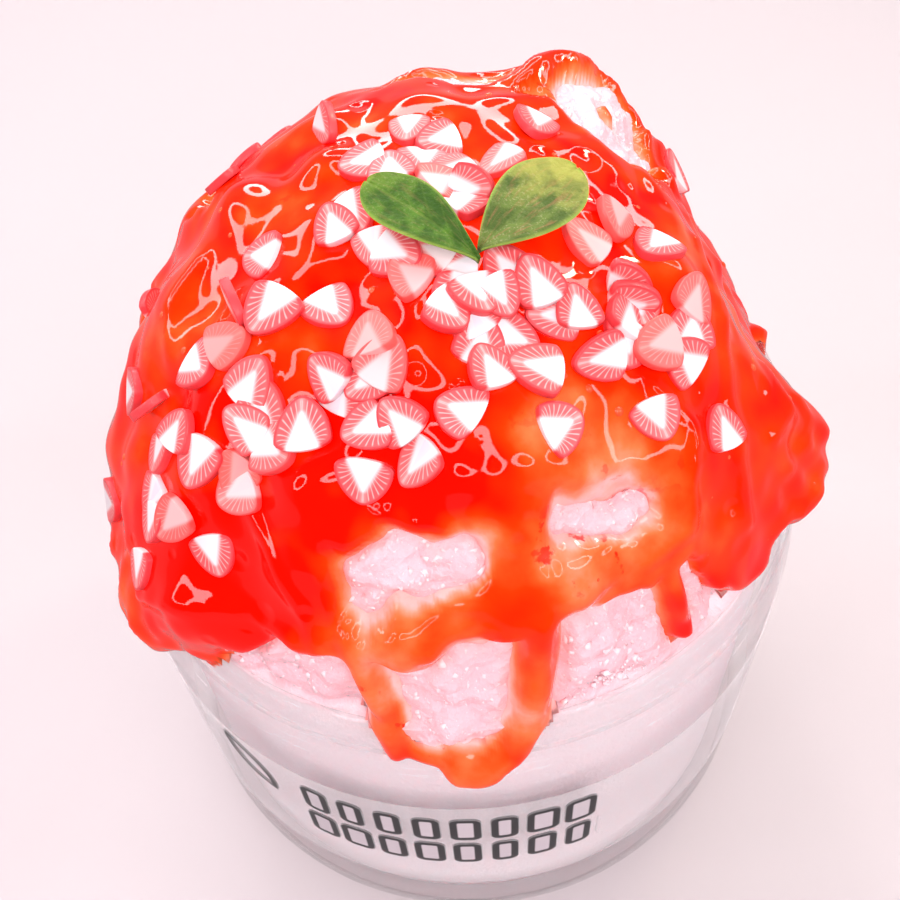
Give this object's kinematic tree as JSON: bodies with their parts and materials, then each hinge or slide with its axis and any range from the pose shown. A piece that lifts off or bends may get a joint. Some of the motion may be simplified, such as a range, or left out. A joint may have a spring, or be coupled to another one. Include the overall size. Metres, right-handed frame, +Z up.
{
  "type": "toy shaved ice dessert in a jar",
  "caption": "Toy shaved ice dessert: a clear round screw-neck jar heaped with white snow slime, coated in glossy red gel with flat fruit slices and leaves on top.",
  "frame": {"origin": "middle of the jar's flat underside", "axes": "+Z up, from the jar's underside to the top of the heap; -Y towards the front, where the label is; +X to the right of a viewer who looks along +Y"},
  "size_m": [0.092, 0.0951, 0.1067],
  "materials": {
    "jar": "clear glossy moulded plastic",
    "label": "clear film with a dark outlined print",
    "ice": "translucent white granular snow slime, faintly pink",
    "gel": "wet clear red gel, deeper where it is thick",
    "slice": "satin polymer clay, white core and coral rim with fine pale lines",
    "leaf": "soft artificial leaf, mid green with a yellow tip and faint veins"
  },
  "bodies": {
    "root": {"jar": "jar", "label": "label", "ice": "ice", "gel": "gel", "leaf_left": "leaf", "leaf_right": "leaf"}
  },
  "joints": []
}
